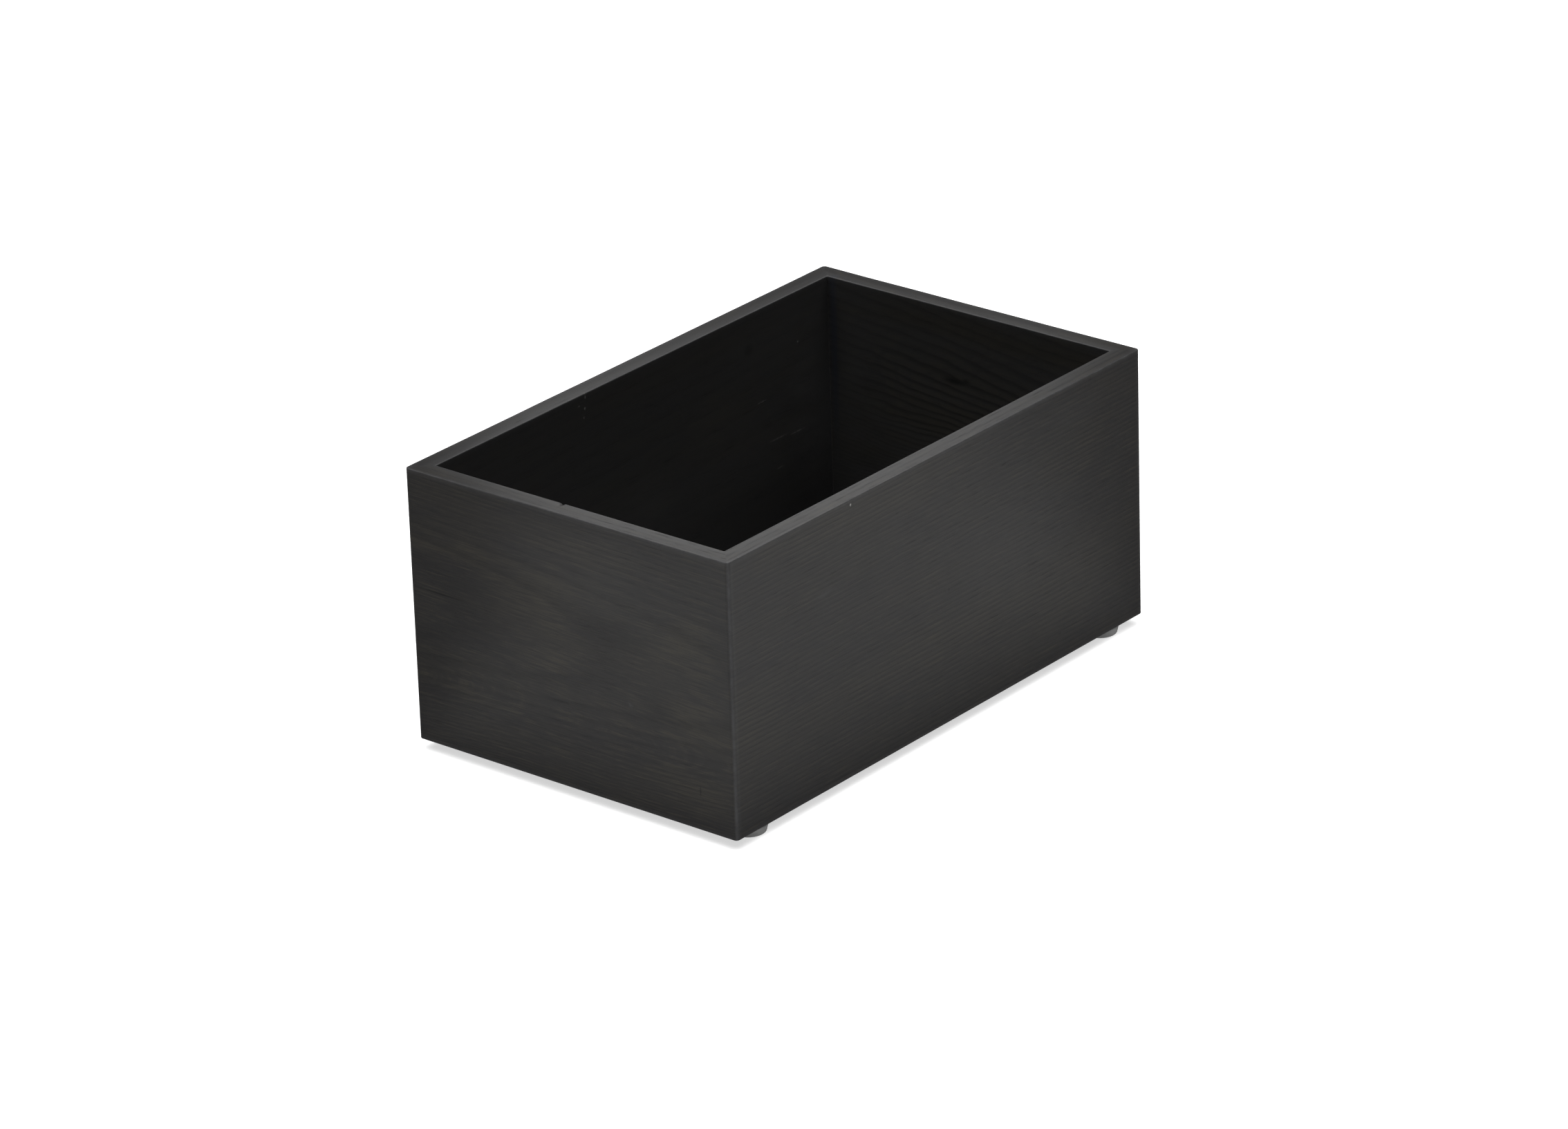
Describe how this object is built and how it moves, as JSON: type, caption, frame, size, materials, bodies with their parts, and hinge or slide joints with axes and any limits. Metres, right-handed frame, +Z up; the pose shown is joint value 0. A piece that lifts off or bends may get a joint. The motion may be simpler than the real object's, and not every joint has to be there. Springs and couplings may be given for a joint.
{
  "type": "open storage box",
  "caption": "Open-topped rectangular storage box of mitred boards in dark stained oak, with a rebated bottom panel and low round rubber feet.",
  "frame": {"origin": "on the floor, under the middle of the box, between its four feet", "axes": "+Z up; X along the long boards; Y along the short boards, with -Y the front"},
  "size_m": [0.3, 0.186, 0.138],
  "materials": {
    "stained_oak": "satin, open grain, dark stain",
    "stained_panel": "satin, dark stain",
    "raw_spline": "matte, unfinished",
    "foot_rubber": "matte"
  },
  "bodies": {
    "root": {"front_board": "stained_oak", "back_board": "stained_oak", "left_board": "stained_oak", "right_board": "stained_oak", "bottom_panel": "stained_panel", "spline_front_left": "raw_spline", "spline_front_right": "raw_spline", "spline_back_left": "raw_spline", "spline_back_right": "raw_spline", "foot_front_left": "foot_rubber", "foot_front_right": "foot_rubber", "foot_back_left": "foot_rubber", "foot_back_right": "foot_rubber"}
  },
  "joints": []
}
